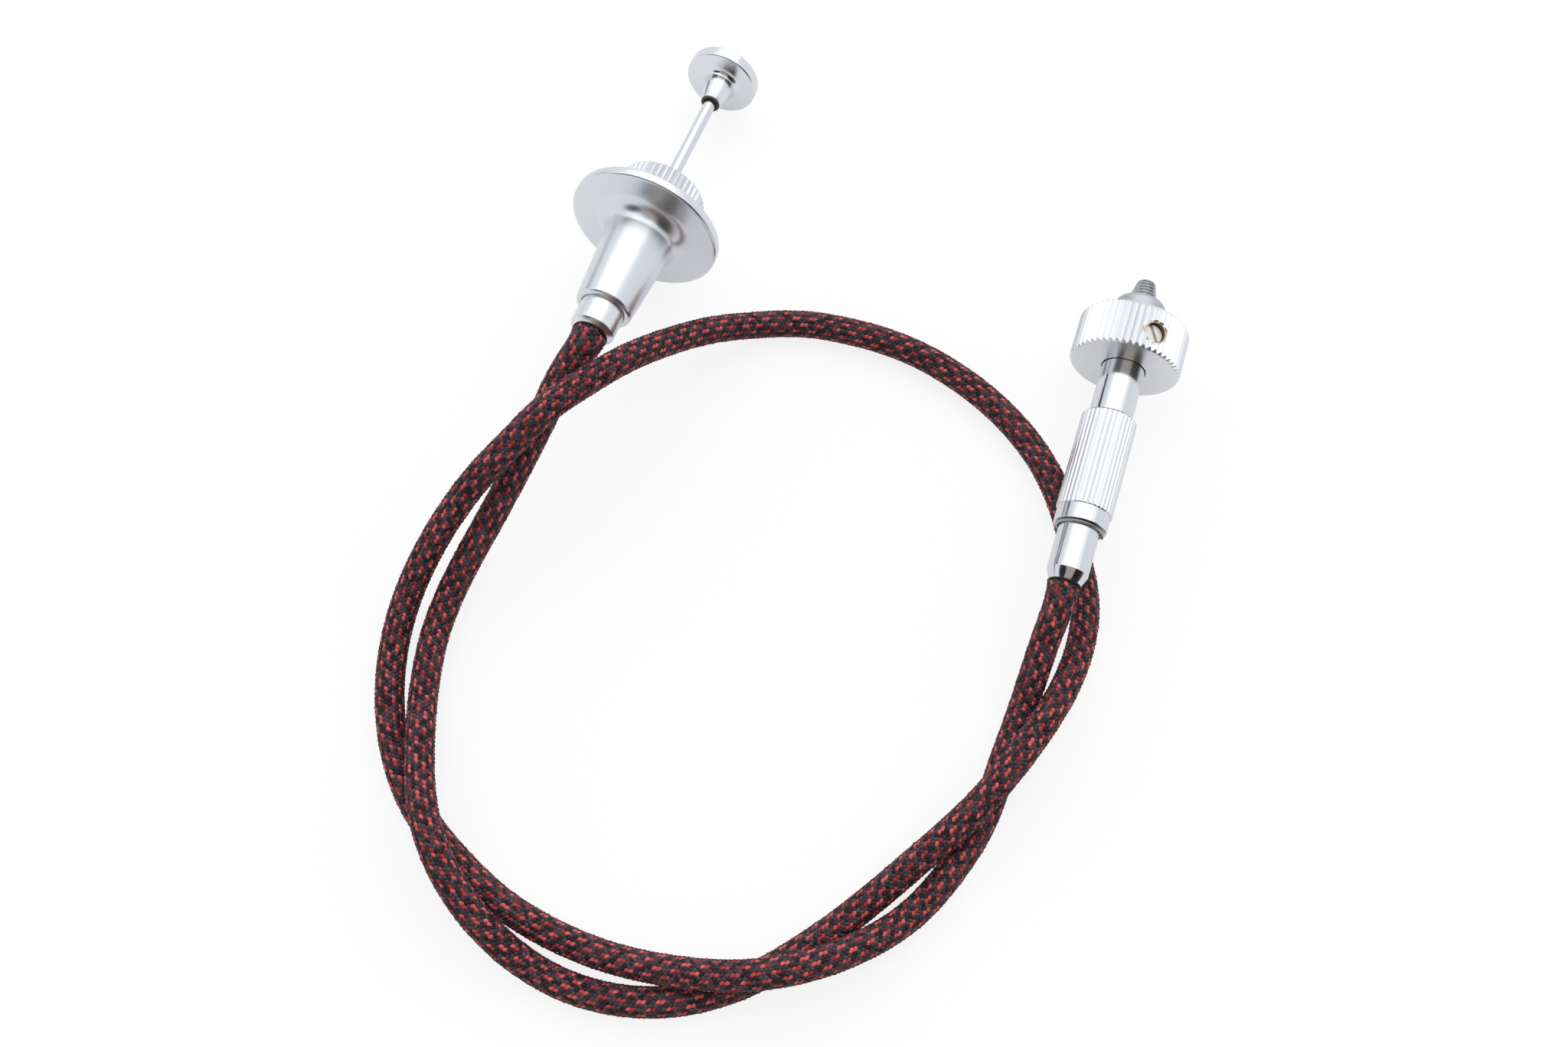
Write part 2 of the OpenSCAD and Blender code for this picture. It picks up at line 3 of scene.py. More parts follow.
import bmesh
import bpy
import numpy as np
from mathutils import Matrix, Vector


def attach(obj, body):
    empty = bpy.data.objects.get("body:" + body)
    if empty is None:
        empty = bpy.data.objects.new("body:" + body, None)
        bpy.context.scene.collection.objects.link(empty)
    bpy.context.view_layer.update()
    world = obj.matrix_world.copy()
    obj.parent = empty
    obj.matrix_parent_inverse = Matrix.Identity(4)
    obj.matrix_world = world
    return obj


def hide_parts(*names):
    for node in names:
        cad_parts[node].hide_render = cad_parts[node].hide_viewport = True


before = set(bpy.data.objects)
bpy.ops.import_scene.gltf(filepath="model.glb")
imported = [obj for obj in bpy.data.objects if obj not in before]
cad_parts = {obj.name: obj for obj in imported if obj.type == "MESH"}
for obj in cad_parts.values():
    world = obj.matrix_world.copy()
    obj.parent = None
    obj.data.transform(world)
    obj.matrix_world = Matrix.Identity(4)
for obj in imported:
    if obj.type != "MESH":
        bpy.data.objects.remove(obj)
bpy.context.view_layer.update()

MM = 0.001
scene = bpy.context.scene

# Camera. A normal lens looks down steeply from the near side, with both loops of the cable in
# view and a slight roll. Its lens is given as on a 36 mm wide sensor.
lens, sensor = 32.52, 36
eye = Vector((-13.1, -94.27, 189.73)) * MM
dip, roll = radians(71.56), radians(-0.51)
level = Vector((1, 0, 0))
below = Vector((0, -sin(dip), -cos(dip)))
ahead = Vector((0, cos(dip), -sin(dip)))
cam_right = cos(roll) * level + sin(roll) * below
cam_up = sin(roll) * level - cos(roll) * below
camera = bpy.data.objects.new("camera", bpy.data.cameras.new("camera"))
camera.data.lens = lens
camera.data.sensor_width = sensor
camera.data.clip_start = 0.005
camera.matrix_world = Matrix.Translation(eye) @ Matrix((cam_right, cam_up, -ahead)).transposed().to_4x4()
scene.collection.objects.link(camera)
scene.camera = camera

# Braided cable. A round conduit, dark in the gaps of a woven sleeve. The sleeve's picks lean both
# ways; those that lean one way go two red, two black along each column, and the rest are black.
# The sleeve is cut square over the ferrules' noses, where it opens a little.
handle_at = Vector((-33.5, 9.1, 11.1104))
handle_turn, handle_drop = 19.4, 10.055
tip_at = Vector((34.4, -10.3, 7.8442))
tip_turn, tip_rise = 17.7, -0.8
on_handle = (
    Matrix.Translation(handle_at * MM)
    @ Matrix.Rotation(radians(-handle_turn), 4, "Z")
    @ Matrix.Rotation(radians(-90 - handle_drop), 4, "X")
)
on_tip = (
    Matrix.Translation(tip_at * MM)
    @ Matrix.Rotation(radians(-tip_turn), 4, "Z")
    @ Matrix.Rotation(radians(-90 + tip_rise), 4, "X")
)
cable_turns = [
    (-42.2, -13.1, 14.2), (-44.1, -16.3, 13.3), (-45.8, -19.9, 12.3), (-47.8, -23.9, 11.0),
    (-50.3, -28.3, 9.0), (-53.7, -34.4, 7.0), (-57.4, -40.8, 4.5), (-60.2, -48.4, 3.0),
    (-61.0, -56.0, 3.0), (-60.3, -65.0, 5.0), (-58.5, -73.5, 6.5), (-54.9, -80.9, 6.0),
    (-50.2, -86.7, 4.2), (-42.8, -92.1, 2.0), (-34.5, -94.8, 2.0), (-26.0, -95.0, 2.0),
    (-18.8, -93.2, 2.0), (-11.1, -89.3, 2.0), (-3.5, -84.1, 2.5), (4.5, -77.6, 3.8),
    (11.0, -72.0, 5.8), (16.3, -66.3, 6.5), (22.1, -58.7, 5.6), (26.5, -50.8, 3.0),
    (28.3, -43.0, 2.0), (27.3, -35.0, 2.0), (25.4, -27.0, 2.0), (22.3, -20.3, 2.0),
    (17.5, -14.1, 2.0), (11.0, -8.5, 2.0), (4.0, -4.5, 2.0), (-4.0, -1.9, 2.0),
    (-12.0, -0.8, 2.0), (-18.0, -1.6, 3.0), (-23.8, -3.9, 6.0), (-29.7, -7.8, 10.0),
    (-35.7, -13.3, 15.0), (-40.8, -18.2, 17.5), (-44.6, -21.5, 18.0), (-48.5, -25.0, 16.5),
    (-52.1, -28.0, 14.5), (-57.4, -33.1, 10.5), (-62.0, -39.5, 6.5), (-65.2, -47.0, 3.0),
    (-65.9, -55.0, 2.0), (-64.6, -63.0, 2.0), (-61.1, -71.0, 2.0), (-55.8, -77.3, 2.0),
    (-49.4, -82.9, 2.0), (-42.1, -87.1, 2.0), (-34.5, -89.9, 2.5), (-26.4, -91.5, 4.5),
    (-19.0, -92.0, 6.0), (-11.6, -91.2, 6.0), (-3.6, -88.6, 4.5), (3.5, -84.4, 2.5),
    (9.2, -78.4, 2.0), (13.4, -71.8, 2.0), (16.1, -65.0, 2.0), (18.6, -58.7, 2.2),
    (20.3, -53.6, 4.4), (22.0, -48.5, 7.0),
]
handle_end, tip_end = -19.2, -33.1
handle_straight, tip_straight = 1.6, 3
cable_r, conduit_r, route_step = 2.0, 1.76, 0.3


def axis_point(axis, height):
    """A point in millimetres on the axis of the handle or of the tip."""
    return tuple(axis @ Vector((0, 0, height * MM)) / MM)


def smooth_route(points, step, fineness=40):
    """A cubic spline through the points, straight at both ends, cut at equal steps."""
    p = np.array(points)
    gap = np.linalg.norm(np.diff(p, axis=0), axis=1)
    count = len(p)
    left = np.eye(count)
    right = np.zeros((count, 3))
    right[0] = (p[1] - p[0]) / gap[0]
    right[-1] = (p[-1] - p[-2]) / gap[-1]
    for i in range(1, count - 1):
        left[i, i - 1:i + 2] = gap[i], 2 * (gap[i - 1] + gap[i]), gap[i - 1]
        right[i] = 3 * (gap[i - 1] * (p[i + 1] - p[i]) / gap[i] + gap[i] * (p[i] - p[i - 1]) / gap[i - 1])
    slope = np.linalg.solve(left, right)
    u = np.linspace(0, 1, fineness, endpoint=False)[:, None]
    fine = [
        (1 + 2 * u) * (1 - u) ** 2 * p[i] + u * (1 - u) ** 2 * gap[i] * slope[i]
        + u ** 2 * (3 - 2 * u) * p[i + 1] + u ** 2 * (u - 1) * gap[i] * slope[i + 1]
        for i in range(count - 1)
    ]
    fine = np.vstack([*fine, p[-1:]])
    fine[:, 2] = np.maximum(fine[:, 2], cable_r)
    along = np.concatenate([[0], np.cumsum(np.linalg.norm(np.diff(fine, axis=0), axis=1))])
    cuts = np.linspace(0, along[-1], round(along[-1] / step) + 1)
    return np.stack([np.interp(cuts, along, fine[:, k]) for k in range(3)], axis=1), cuts


ends = [axis_point(on_handle, handle_end), axis_point(on_handle, handle_end - handle_straight)]
ends += [axis_point(on_tip, tip_end - tip_straight), axis_point(on_tip, tip_end)]
route, route_s = smooth_route(ends[:2] + cable_turns + ends[2:], route_step)
cable_length = route_s[-1]
heading = np.gradient(route, axis=0)
heading /= np.linalg.norm(heading, axis=1)[:, None]
beside = np.cross(heading, (0, 0, 1))
beside /= np.linalg.norm(beside, axis=1)[:, None]
upward = np.cross(beside, heading)

# the picks stand in columns along the cable, one every pick, and slant to both sides of it
pick, columns, slant = 0.6075, 12, radians(40.8)
pick_half_len, pick_half_wide, pick_point = 0.40, 0.25, 0.35
pick_sunk, dip_at_ends, dip_at_sides = 0.01, 0.16, 0.10
uneven_len, uneven_lean, uneven_height = 0.06, radians(3), 0.02
cut_margin = 0.4
handle_flare, handle_flare_len = 0.55, 7.0
tip_flare, tip_flare_len = 0.32, 3.5


def on_route(table, s):
    """Rows of a table along the route, read at any distances from the handle."""
    return np.stack([np.interp(s, route_s, table[:, k]) for k in range(3)], axis=-1)


def sleeve_opening(s):
    """How far the sleeve stands out at its two cut ends."""
    at_handle = handle_flare * np.exp(-s / handle_flare_len)
    at_tip = tip_flare * np.exp(-(cable_length - s) / tip_flare_len)
    return at_handle + at_tip


def lay_picks(name, s, turn, lean, seed):
    """One low cushion of yarn for each pick, bent over the cable and dipping at both ends."""
    random = np.random.default_rng(seed)
    bm = bmesh.new()
    bmesh.ops.create_grid(bm, x_segments=4, y_segments=3, size=1)
    bm.verts.index_update()
    a, b, _ = np.array([v.co for v in bm.verts]).T
    faces = np.array([[v.index for v in f.verts] for f in bm.faces])
    bm.free()
    n = len(s)
    a = a[None] * (1 + uneven_len * random.standard_normal((n, 1)))
    b = np.repeat(b[None], n, axis=0)
    lean = lean + uneven_lean * random.standard_normal(n)
    x, y = a * pick_half_len, b * pick_half_wide * (1 - pick_point * a ** 2)
    ds = x * np.cos(lean)[:, None] - y * np.sin(lean)[:, None]
    dr = x * np.sin(lean)[:, None] + y * np.cos(lean)[:, None]
    at = np.clip(s[:, None] + ds, 0, cable_length)
    proud = uneven_height * random.standard_normal((n, 1))
    radius = cable_r - pick_sunk + proud - dip_at_ends * a ** 2 - dip_at_sides * b ** 2
    radius = radius + sleeve_opening(at)
    around = turn[:, None] + dr / cable_r
    points = on_route(route, at) + radius[..., None] * (
        np.cos(around)[..., None] * on_route(beside, at) + np.sin(around)[..., None] * on_route(upward, at)
    )
    quads = (faces[None] + (np.arange(n) * a.shape[1])[:, None, None]).reshape(-1, 4)
    mesh = bpy.data.meshes.new(name)
    mesh.from_pydata((points.reshape(-1, 3) * MM).tolist(), [], quads.tolist())
    mesh.polygons.foreach_set("use_smooth", [True] * len(mesh.polygons))
    shade = mesh.attributes.new("shade", "FLOAT", "POINT")
    shade.data.foreach_set("value", np.repeat(random.random(n), a.shape[1]))
    uv = mesh.uv_layers.new(name="yarn")
    corner = np.zeros(len(mesh.loops), np.int32)
    mesh.loops.foreach_get("vertex_index", corner)
    flat = np.stack([a.reshape(-1), b.reshape(-1)], axis=1)[corner]
    uv.data.foreach_set("uv", flat.reshape(-1))
    piece = bpy.data.objects.new(name, mesh)
    scene.collection.objects.link(piece)
    return piece


rows = int((cable_length - 2 * cut_margin) / pick) + 1
row, column = [grid.reshape(-1) for grid in np.meshgrid(np.arange(rows), np.arange(columns))]
red = (2 * column - row) % 4 < 2
one_way_s = cut_margin + row * pick
one_way_turn = column * 2 * pi / columns
other_way_s = np.minimum(one_way_s + 0.5 * pick, cable_length - cut_margin)
other_way_turn = (column + 0.5) * 2 * pi / columns
black_s = np.concatenate([one_way_s[~red], other_way_s])
black_turn = np.concatenate([one_way_turn[~red], other_way_turn])
black_lean = np.concatenate([np.full((~red).sum(), slant), np.full(len(other_way_s), -slant)])
near = black_s < cable_length / 2
yarns = [
    lay_picks("red_yarn", one_way_s[red], one_way_turn[red], np.full(red.sum(), slant), 3),
    lay_picks("black_yarn_first_half", black_s[near], black_turn[near], black_lean[near], 4),
    lay_picks("black_yarn_second_half", black_s[~near], black_turn[~near], black_lean[~near], 5),
]

conduit = bpy.data.curves.new("sleeved_conduit", "CURVE")
conduit.dimensions = "3D"
conduit.bevel_depth = conduit_r * MM
conduit.bevel_resolution = 3
conduit.use_fill_caps = True
line = conduit.splines.new("POLY")
every = route[::2] if len(route) % 2 else np.vstack([route[::2], route[-1:]])
line.points.add(len(every) - 1)
line.points.foreach_set("co", np.hstack([every * MM, np.ones((len(every), 1))]).reshape(-1))
cable = bpy.data.objects.new("sleeved_conduit", conduit)
scene.collection.objects.link(cable)


def new_material(name, colour, **values):
    """A material with its own shader, and the plain values set on the shader's sockets."""
    material = bpy.data.materials.new(name)
    material.use_nodes = True
    shader = material.node_tree.nodes["Principled BSDF"]
    shader.inputs["Base Color"].default_value = (*colour, 1)
    for socket, value in values.items():
        shader.inputs[socket.replace("_", " ")].default_value = value
    return material, material.node_tree.nodes, material.node_tree.links, shader


def maths(nodes, links, operation, *values):
    """A maths node on numbers and sockets, given by its output."""
    node = nodes.new("ShaderNodeMath")
    node.operation = operation
    for socket, value in zip(node.inputs, values):
        if isinstance(value, bpy.types.NodeSocket):
            links.new(value, socket)
        else:
            socket.default_value = value
    return node.outputs[0]


def yarn_material(name, deep, bright, own_tone=0.35):
    """Yarn of twisted threads: a tone that changes pick by pick, and darker lines along the pick; the deep
    end is partly painted shade, the bright end partly painted sheen.
    """
    material, nodes, links, shader = new_material(name, deep, Roughness=0.5, Specular_IOR_Level=0.3)
    tone = nodes.new("ShaderNodeAttribute")
    tone.attribute_name = "shade"
    place = nodes.new("ShaderNodeUVMap")
    place.uv_map = "yarn"
    stretch = nodes.new("ShaderNodeMapping")
    stretch.inputs["Scale"].default_value = (0.5, 2, 1)
    apart = nodes.new("ShaderNodeCombineXYZ")
    shift = nodes.new("ShaderNodeVectorMath")
    shift.operation = "MULTIPLY_ADD"
    shift.inputs[1].default_value = (50, 50, 50)
    threads = nodes.new("ShaderNodeTexNoise")
    threads.inputs["Scale"].default_value = 1.6
    threads.inputs["Detail"].default_value = 3
    links.new(tone.outputs["Fac"], apart.inputs["Z"])
    links.new(place.outputs["UV"], stretch.inputs["Vector"])
    links.new(apart.outputs["Vector"], shift.inputs[0])
    links.new(stretch.outputs["Vector"], shift.inputs[2])
    links.new(shift.outputs["Vector"], threads.inputs["Vector"])

    lines = maths(nodes, links, "MULTIPLY", threads.outputs["Fac"], 1 - own_tone)
    mixed = maths(nodes, links, "MULTIPLY_ADD", tone.outputs["Fac"], own_tone, lines)
    ramp = nodes.new("ShaderNodeValToRGB")
    for stop, at, colour in zip(ramp.color_ramp.elements, (0.34, 0.68), (deep, bright)):
        stop.position = at
        stop.color = (*colour, 1)
    links.new(mixed, ramp.inputs["Fac"])
    links.new(ramp.outputs["Color"], shader.inputs["Base Color"])
    bump = nodes.new("ShaderNodeBump")
    bump.inputs["Distance"].default_value = 0.05 * MM
    links.new(threads.outputs["Fac"], bump.inputs["Height"])
    links.new(bump.outputs["Normal"], shader.inputs["Normal"])
    return material


# the deep colours are partly painted shade and the bright ones partly painted sheen on the yarn
yarns[0].data.materials.append(yarn_material("red_yarn", (0.34, 0.022, 0.032), (1.0, 0.17, 0.17)))
black_yarn = yarn_material("black_yarn", (0.012, 0.007, 0.009), (0.125, 0.080, 0.096))
for piece in yarns[1:]:
    piece.data.materials.append(black_yarn)
conduit.materials.append(new_material("sleeve_ground", (0.012, 0.01, 0.011), Roughness=0.9)[0])

# each cut end of the sleeve is melted to a thin hard edge
melt_r, melt_back = 0.16, 0.2
cut_edges = [
    ("cut_edge_at_handle", on_handle, cable_r + handle_flare - melt_r, handle_end - melt_back),
    ("cut_edge_at_tip", on_tip, cable_r + tip_flare - melt_r, tip_end - melt_back),
]
for name, axis, edge_r, height in cut_edges:
    bm = bmesh.new()
    bmesh.ops.create_circle(bm, segments=10, radius=melt_r)
    bmesh.ops.rotate(bm, matrix=Matrix.Rotation(pi / 2, 3, "X"), verts=bm.verts[:])
    bmesh.ops.translate(bm, vec=(edge_r, 0, height), verts=bm.verts[:])
    bmesh.ops.spin(
        bm, geom=bm.edges[:] + bm.verts[:], cent=(0, 0, 0), axis=(0, 0, 1), angle=2 * pi, steps=48,
        use_merge=True, use_duplicate=False,
    )
    bmesh.ops.remove_doubles(bm, verts=bm.verts[:], dist=1e-4)
    bmesh.ops.recalc_face_normals(bm, faces=bm.faces[:])
    bmesh.ops.transform(bm, matrix=axis @ Matrix.Scale(MM, 4), verts=bm.verts[:])
    for face in bm.faces:
        face.smooth = True
    edge_mesh = bpy.data.meshes.new(name)
    bm.to_mesh(edge_mesh)
    bm.free()
    edge_mesh.materials.append(black_yarn)
    edge = bpy.data.objects.new(name, edge_mesh)
    scene.collection.objects.link(edge)
    yarns.append(edge)
for piece in [cable, *yarns]:
    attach(piece, "release_body")
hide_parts("braided_cable")

# Handle body. Finger plate, tapered barrel and boss are turned in one from bar and chromed, with a
# satin face. The tool leaves fine rings, and every corner is broken.
def soft_corners(bm, angle, width):
    """Breaks every corner that is sharper than the angle."""
    bm.normal_update()
    sharp = [e for e in bm.edges if len(e.link_faces) == 2 and e.calc_face_angle(0) > radians(angle)]
    bmesh.ops.bevel(
        bm, geom=sharp, offset=width, offset_type="OFFSET", segments=2, profile=0.5,
        affect="EDGES", material=-1, clamp_overlap=True,
    )


def turned(outline, steps=128, broken=0.06, corner=25):
    """A turned shape: its outline, as radius and height, spun once round its axis."""
    bm = bmesh.new()
    points = [bm.verts.new((r, 0, h)) for r, h in outline]
    for a, b in zip(points, points[1:]):
        bm.edges.new((a, b))
    bmesh.ops.spin(
        bm, geom=bm.verts[:] + bm.edges[:], cent=(0, 0, 0), axis=(0, 0, 1), angle=2 * pi,
        steps=steps, use_merge=True, use_duplicate=False,
    )
    bmesh.ops.remove_doubles(bm, verts=bm.verts[:], dist=1e-5)
    bmesh.ops.recalc_face_normals(bm, faces=bm.faces[:])
    if broken:
        soft_corners(bm, corner, broken)
    return bm


def finish_piece(bm, name, axis, material, body, slot, *nodes, crease=radians(32)):
    """Lays a shape drawn in millimetres on its axis and makes it a piece of the object."""
    round_layer = bm.loops.layers.uv.new("turning")
    for face in bm.faces:
        middle = face.calc_center_median()
        turn = np.arctan2(middle.y, middle.x)
        for loop in face.loops:
            co = loop.vert.co
            near = np.arctan2(co.y, co.x)
            near += 2 * pi * round((turn - near) / (2 * pi))
            loop[round_layer].uv = near, co.z + co.xy.length
        face.smooth = True
    bm.normal_update()
    for edge in bm.edges:
        edge.smooth = len(edge.link_faces) == 2 and edge.calc_face_angle(0) < crease
    bmesh.ops.transform(bm, matrix=axis @ Matrix.Scale(MM, 4), verts=bm.verts[:])
    mesh = bpy.data.meshes.new(name)
    bm.to_mesh(mesh)
    bm.free()
    mesh.materials.append(material)
    piece = bpy.data.objects.new(name, mesh)
    scene.collection.objects.link(piece)
    flat = piece.modifiers.new("flat_faces", "WEIGHTED_NORMAL")
    flat.keep_sharp = True
    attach(piece, body)
    if nodes:
        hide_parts(*nodes)
    return piece


def arc(r, h, radius, start, end, cuts):
    """Points on an arc about a radius and height, between two angles in degrees."""
    angles = [radians(start + (end - start) * i / cuts) for i in range(cuts + 1)]
    return [(r + radius * cos(a), h + radius * sin(a)) for a in angles]


def effect(name, inputs, outputs):
    """A node group for an effect that several finishes share."""
    group = bpy.data.node_groups.new(name, "ShaderNodeTree")
    for socket, value in inputs.items():
        made = group.interface.new_socket(socket, in_out="INPUT", socket_type="NodeSocketFloat")
        made.default_value = value
    for socket, kind in outputs.items():
        group.interface.new_socket(socket, in_out="OUTPUT", socket_type=kind)
    return group, group.nodes.new("NodeGroupInput"), group.nodes.new("NodeGroupOutput")


# fine marks that a tool or a draw leaves, read from the turn and the distance along the outline
tool_marks, given, made = effect(
    "tool_marks", {"Round": 0.12, "Along": 1.0, "Roughness": 0.2, "Spread": 0.05, "Depth": 0.02},
    {"Roughness": "NodeSocketFloat", "Normal": "NodeSocketVector"},
)
nodes, links = tool_marks.nodes, tool_marks.links
place = nodes.new("ShaderNodeUVMap")
place.uv_map = "turning"
split = nodes.new("ShaderNodeSeparateXYZ")
join = nodes.new("ShaderNodeCombineXYZ")
rings = nodes.new("ShaderNodeTexNoise")
rings.noise_dimensions = "2D"
rings.inputs["Scale"].default_value = 9
rings.inputs["Detail"].default_value = 3
bump = nodes.new("ShaderNodeBump")
bump.inputs["Distance"].default_value = 0.01 * MM
links.new(place.outputs["UV"], split.inputs[0])
links.new(maths(nodes, links, "MULTIPLY", split.outputs["X"], given.outputs["Round"]), join.inputs["X"])
links.new(maths(nodes, links, "MULTIPLY", split.outputs["Y"], given.outputs["Along"]), join.inputs["Y"])
links.new(join.outputs[0], rings.inputs["Vector"])
centred = maths(nodes, links, "SUBTRACT", rings.outputs["Fac"], 0.5)
gloss = maths(nodes, links, "MULTIPLY_ADD", centred, given.outputs["Spread"], given.outputs["Roughness"])
links.new(gloss, made.inputs["Roughness"])
links.new(rings.outputs["Fac"], bump.inputs["Height"])
links.new(given.outputs["Depth"], bump.inputs["Strength"])
links.new(bump.outputs["Normal"], made.inputs["Normal"])


def worked_metal(name, colour, roughness, spread=0.05, depth=0.1, around=0.12, along=1.0):
    """Metal with tool marks in its gloss, round it or lengthwise."""
    material, nodes, links, shader = new_material(name, colour, Metallic=1.0)
    marks = nodes.new("ShaderNodeGroup")
    marks.node_tree = tool_marks
    settings = {"Round": around, "Along": along, "Roughness": roughness, "Spread": spread, "Depth": depth}
    for socket, value in settings.items():
        marks.inputs[socket].default_value = value
    links.new(marks.outputs["Roughness"], shader.inputs["Roughness"])
    links.new(marks.outputs["Normal"], shader.inputs["Normal"])
    return material


satin_chrome = worked_metal("satin_chrome", (0.81, 0.84, 0.88), 0.30, 0.10, 0.10)
bright_chrome = worked_metal("bright_chrome", (0.78, 0.80, 0.83), 0.13, 0.10, 0.25, 3.0, 0.04)
knurled_chrome = worked_metal("knurled_chrome", (0.84, 0.86, 0.88), 0.32, 0.08, 0.10)

plate_r, plate_t, plate_edge = 11.0, 1.6, 0.4
barrel_top_r, barrel_end_r, barrel_len, barrel_fillet, barrel_round = 4.95, 4.05, 15.0, 2.6, 0.6
boss_r, boss_top, bore_r = 4.2, 6.6, 2.2
ferrule_r, seat_top, seat_gap, seat_mouth = 3.15, -12.0, 0.02, 0.12
body_outline = (
    [(bore_r, boss_top), (boss_r, boss_top), (boss_r, plate_t)]
    + arc(plate_r - plate_edge, plate_t - plate_edge, plate_edge, 90, 0, 6)
    + arc(plate_r - plate_edge, plate_edge, plate_edge, 0, -90, 6)
    + arc(barrel_top_r + barrel_fillet, -barrel_fillet, barrel_fillet, 90, 180, 16)
    + arc(barrel_end_r - barrel_round, barrel_round - barrel_len, barrel_round, 0, -90, 8)
    + [(ferrule_r + seat_mouth, -barrel_len), (ferrule_r + seat_gap, -barrel_len + 0.15)]
    + [(ferrule_r + seat_gap, seat_top), (bore_r, seat_top), (bore_r, boss_top)]
)
finish_piece(
    turned(body_outline), "turned_handle", on_handle, satin_chrome,
    "release_body", "satin_chrome", "handle_body",
)

# Handle ferrule. A bright turned ferrule pressed into the barrel, with a tapered nose that the
# sleeve is drawn over. It is bored for the wire and for the clamp above the wire.
ferrule_foot, nose_at, handle_nose_r = -13.4, -18.6, 2.5
clamp_bore_r, clamp_stop, wire_bore_r, wire_stop = 1.4, -15.9, 0.55, -18.6
ferrule_outline = [
    (clamp_bore_r, ferrule_foot), (ferrule_r, ferrule_foot), (ferrule_r, nose_at),
    (handle_nose_r, handle_end), (0, handle_end), (0, wire_stop), (wire_bore_r, wire_stop),
    (wire_bore_r, clamp_stop), (clamp_bore_r, clamp_stop), (clamp_bore_r, ferrule_foot),
]
worn_chrome = worked_metal("worn_chrome", (0.86, 0.88, 0.90), 0.30, 0.20, 0.25, 2.0, 0.15)
finish_piece(
    turned(ferrule_outline, corner=15), "handle_ferrule_turned", on_handle, worn_chrome,
    "release_body", "bright_chrome", "handle_ferrule",
)


# Lock ring. A cap on the boss, with a sunk top face that the rod comes out of. Straight V grooves
# are cut along its rim.
def toothed(outline, teeth, deep, land=0.25, steps_per_tooth=8):
    """A turned shape with straight V grooves cut along its rim."""
    bm = turned(outline, steps=teeth * steps_per_tooth, broken=0)
    rim = max(r for r, h in outline)
    for vert in bm.verts:
        r = vert.co.xy.length
        if r > rim - deep - 0.001:
            phase = (np.arctan2(vert.co.y, vert.co.x) * teeth / (2 * pi)) % 1
            side = abs(phase - 0.5) * 2
            groove = rim - deep * max(0, min(1, (1 - side - land) / (1 - land)))
            if r > groove:
                vert.co.xy *= groove / r
    return bm


ring_r, ring_foot, ring_top, ring_edge, ring_teeth, ring_deep = 6.35, 2.0, 7.6, 0.25, 44, 0.32
ring_rim, ring_sink, ring_roof, rod_hole_r = 1.4, 0.35, 6.7, 1.3
ring_bore_r = boss_r + 0.05
ring_outline = [
    (ring_bore_r, ring_foot), (ring_r - ring_edge, ring_foot), (ring_r, ring_foot + ring_edge),
    (ring_r, ring_top - ring_edge), (ring_r - ring_edge, ring_top), (ring_r - ring_rim, ring_top),
    (ring_r - ring_rim - 0.1, ring_top - ring_sink), (rod_hole_r, ring_top - ring_sink),
    (rod_hole_r, ring_roof), (ring_bore_r, ring_roof), (ring_bore_r, ring_foot),
]
ring_chrome = worked_metal("ring_chrome", (0.72, 0.74, 0.77), 0.32, 0.08, 0.10)
finish_piece(
    toothed(ring_outline, ring_teeth, ring_deep), "toothed_lock_ring", on_handle, ring_chrome,
    "lock", "bright_chrome", "lock_ring",
)

# Plunger. The dished button and its flared hub are turned in one and pressed on the polished rod,
# with a rubber ring at the hub's mouth.
button_r, button_at, button_top, rim = 5.45, 31.0, 32.9, 0.25
dish = [(0, 0.45), (1.1, 0.44), (2.2, 0.38), (3.2, 0.27), (3.85, 0.16), (button_r - 3 * rim, 0.02)]
hub_mouth, hub_root_r, hub_fillet, hub_mouth_r, hub_recess_r, hub_recess = 26.6, 2.3, 0.9, 1.5, 1.2, 0.5
rod_r, rod_head, rod_foot = 0.9, 30.12, -0.9
button_outline = (
    [(r, button_top - sunk) for r, sunk in dish]
    + arc(button_r - rim, button_top - rim, rim, 90, 0, 6)
    + arc(button_r - rim, button_at + rim, rim, 0, -90, 6)
    + arc(hub_root_r + hub_fillet, button_at - hub_fillet, hub_fillet, 90, 180, 10)
    + [(hub_mouth_r, hub_mouth), (hub_recess_r, hub_mouth), (hub_recess_r, hub_mouth + hub_recess)]
    + [(rod_r + 0.01, hub_mouth + hub_recess), (rod_r + 0.01, rod_head), (0, rod_head)]
)
polished_chrome = worked_metal("polished_chrome", (0.82, 0.84, 0.87), 0.19, 0.10, 0.10)
finish_piece(
    turned(button_outline, 96), "dished_button", on_handle, polished_chrome,
    "plunger", "satin_chrome", "thumb_button",
)
rod_outline = [(0, rod_head), (rod_r, rod_head), (rod_r, rod_foot), (0, rod_foot)]
finish_piece(
    turned(rod_outline, 48), "polished_rod", on_handle, bright_chrome,
    "plunger", "bright_chrome", "plunger_rod",
)

bumper_bore_r, bumper_neck_r, bumper_r, bumper_t = 0.95, 1.19, 1.47, 0.2
bumper_outline = [
    (bumper_bore_r, hub_mouth + 0.45), (bumper_neck_r, hub_mouth + 0.45), (bumper_neck_r, hub_mouth),
    (bumper_r, hub_mouth), (bumper_r, hub_mouth - 0.12), (1.4, hub_mouth - bumper_t),
    (1.2, hub_mouth - bumper_t), (bumper_bore_r, hub_mouth + 0.2), (bumper_bore_r, hub_mouth + 0.45),
]
rubber = new_material("hub_rubber", (0.11, 0.11, 0.06), Roughness=0.55)[0]
finish_piece(
    turned(bumper_outline, 48), "hub_rubber_ring", on_handle, rubber, "plunger", "rubber", "rod_bumper",
)

